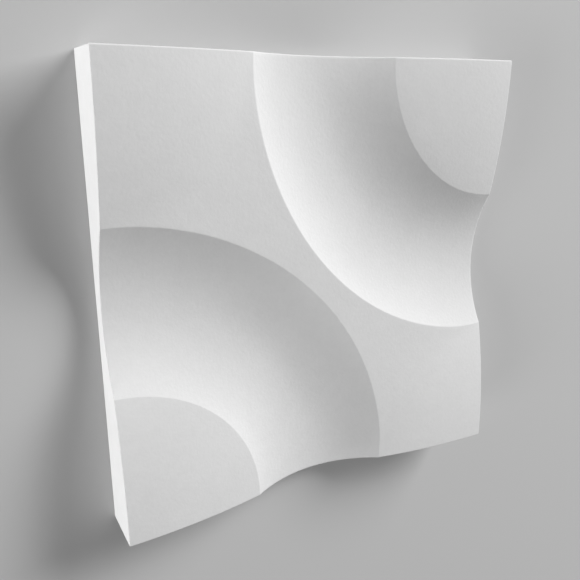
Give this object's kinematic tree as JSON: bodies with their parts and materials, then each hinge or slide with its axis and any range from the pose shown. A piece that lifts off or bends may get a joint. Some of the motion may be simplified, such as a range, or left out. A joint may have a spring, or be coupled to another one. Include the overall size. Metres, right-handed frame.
{
  "type": "relief wall panel tile",
  "caption": "Square cast plaster wall tile whose hollow channels curve round opposite corners between shallow domes, so that tiles laid any way round join into a winding relief.",
  "frame": {"origin": "centre of the flat back face", "axes": "+X and +Y along the tile's edges, with the channels round the +X+Y and -X-Y corners; +Z out of the relief face, away from the wall"},
  "size_m": [0.3, 0.3, 0.037],
  "materials": {
    "plaster": "smooth matte white cast gypsum plaster"
  },
  "bodies": {
    "root": {"panel_tile": "plaster"}
  },
  "joints": []
}
